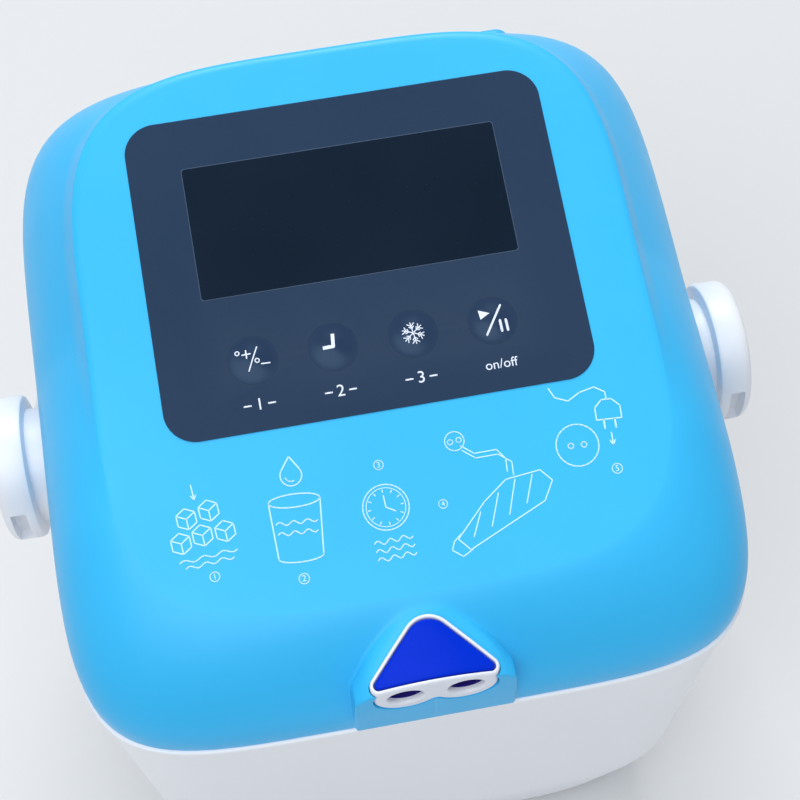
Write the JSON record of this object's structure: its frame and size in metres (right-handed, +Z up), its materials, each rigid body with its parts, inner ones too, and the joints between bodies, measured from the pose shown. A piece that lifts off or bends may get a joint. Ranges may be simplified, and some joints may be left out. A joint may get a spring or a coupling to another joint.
{
  "type": "hot cold therapy machine",
  "caption": "Portable hot and cold therapy machine: insulated ice bucket with bail handle, pump lid with sloping control panel and a twin-port hose coupler.",
  "frame": {"origin": "on the table, under the middle of the overall box", "axes": "+X to the right of the machine, -Y to the front with the hose ports, +Z up"},
  "size_m": [0.304, 0.2906, 0.3298],
  "materials": {
    "white_plastic": "smooth moulded, satin",
    "blue_plastic": "smooth moulded, satin",
    "deep_blue_plastic": "smooth moulded",
    "panel_plastic": "matt film over a plate",
    "display_glass": "clear plastic over a switched-off display",
    "foam": "foamed in place",
    "soft_rubber": "moulded",
    "steel": "drawn or turned",
    "circuit_board": "coated laminate"
  },
  "bodies": {
    "bucket": {"bucket_shell": "white_plastic", "insulation": "foam", "tank_liner": "white_plastic", "rim_ring": "white_plastic", "base_plate": "white_plastic", "base_screws": "steel", "feet": "soft_rubber", "pivot_pins": "steel", "latch_spring": "steel"},
    "bail": {"handle": "white_plastic", "handle_grip": "white_plastic", "hub_caps": "white_plastic"},
    "latch": {"latch_button": "white_plastic"},
    "temperature_key": {"button_temperature": "panel_plastic"},
    "timer_key": {"button_timer": "panel_plastic"},
    "level_key": {"button_level": "panel_plastic"},
    "power_key": {"button_power": "panel_plastic"},
    "release": {"release_button": "deep_blue_plastic"},
    "left_shutoff": {"valve_left": "deep_blue_plastic"},
    "right_shutoff": {"valve_right": "deep_blue_plastic"},
    "rotor": {"pump_shaft": "steel", "impeller": "soft_rubber"},
    "lid": {"lid_shell": "blue_plastic", "lid_base": "white_plastic", "lid_seal": "soft_rubber", "lid_screws": "steel", "panel_plate": "panel_plastic", "lcd_window": "display_glass", "lcd_module": "steel", "main_board": "circuit_board", "board_screws": "steel", "button_switches": "steel", "hose_coupler": "white_plastic", "release_spring": "steel", "valve_spring_left": "steel", "valve_spring_right": "steel", "port_seals": "soft_rubber", "supply_hose": "white_plastic", "return_hose": "white_plastic", "temperature_probe": "steel", "pump_column": "white_plastic", "pump_motor": "steel", "pump_housing": "white_plastic", "strainer": "white_plastic", "power_jack": "soft_rubber", "inlet_cover": "blue_plastic", "wiring": "soft_rubber"}
  },
  "joints": [
    {"name": "lid_lift", "type": "slide", "parent": "bucket", "child": "lid", "axis": [0, 0, 1], "range_m": [0, 0.225]},
    {"name": "handle_swing", "type": "hinge", "parent": "bucket", "child": "bail", "pos_m": [0, -0.00852, 0.222], "axis": [1, 0, 0], "range_deg": [0, 238]},
    {"name": "latch_press", "type": "slide", "parent": "bucket", "child": "latch", "axis": [0, -1, 0], "range_m": [0, 0.0014], "stiffness_N_per_m": 600, "deforming": ["latch_spring"]},
    {"name": "temperature_press", "type": "slide", "parent": "lid", "child": "temperature_key", "axis": [0, 0.225, -0.9744], "range_m": [0, 0.0008], "stiffness_N_per_m": 400},
    {"name": "timer_press", "type": "slide", "parent": "lid", "child": "timer_key", "axis": [0, 0.225, -0.9744], "range_m": [0, 0.0008], "stiffness_N_per_m": 400},
    {"name": "level_press", "type": "slide", "parent": "lid", "child": "level_key", "axis": [0, 0.225, -0.9744], "range_m": [0, 0.0008], "stiffness_N_per_m": 400},
    {"name": "power_press", "type": "slide", "parent": "lid", "child": "power_key", "axis": [0, 0.225, -0.9744], "range_m": [0, 0.0008], "stiffness_N_per_m": 400},
    {"name": "release_press", "type": "slide", "parent": "lid", "child": "release", "axis": [0, 0.225, -0.9744], "range_m": [0, 0.0014], "stiffness_N_per_m": 800, "deforming": ["release_spring"]},
    {"name": "left_valve_slide", "type": "slide", "parent": "lid", "child": "left_shutoff", "axis": [0, 1, 0], "range_m": [0, 0.002], "stiffness_N_per_m": 300, "deforming": ["valve_spring_left"]},
    {"name": "right_valve_slide", "type": "slide", "parent": "lid", "child": "right_shutoff", "axis": [0, 1, 0], "range_m": [0, 0.002], "stiffness_N_per_m": 300, "deforming": ["valve_spring_right"]},
    {"name": "impeller_spin", "type": "hinge", "parent": "lid", "child": "rotor", "pos_m": [0, -0.00052, 0.054], "axis": [0, 0, 1], "continuous": true}
  ]
}
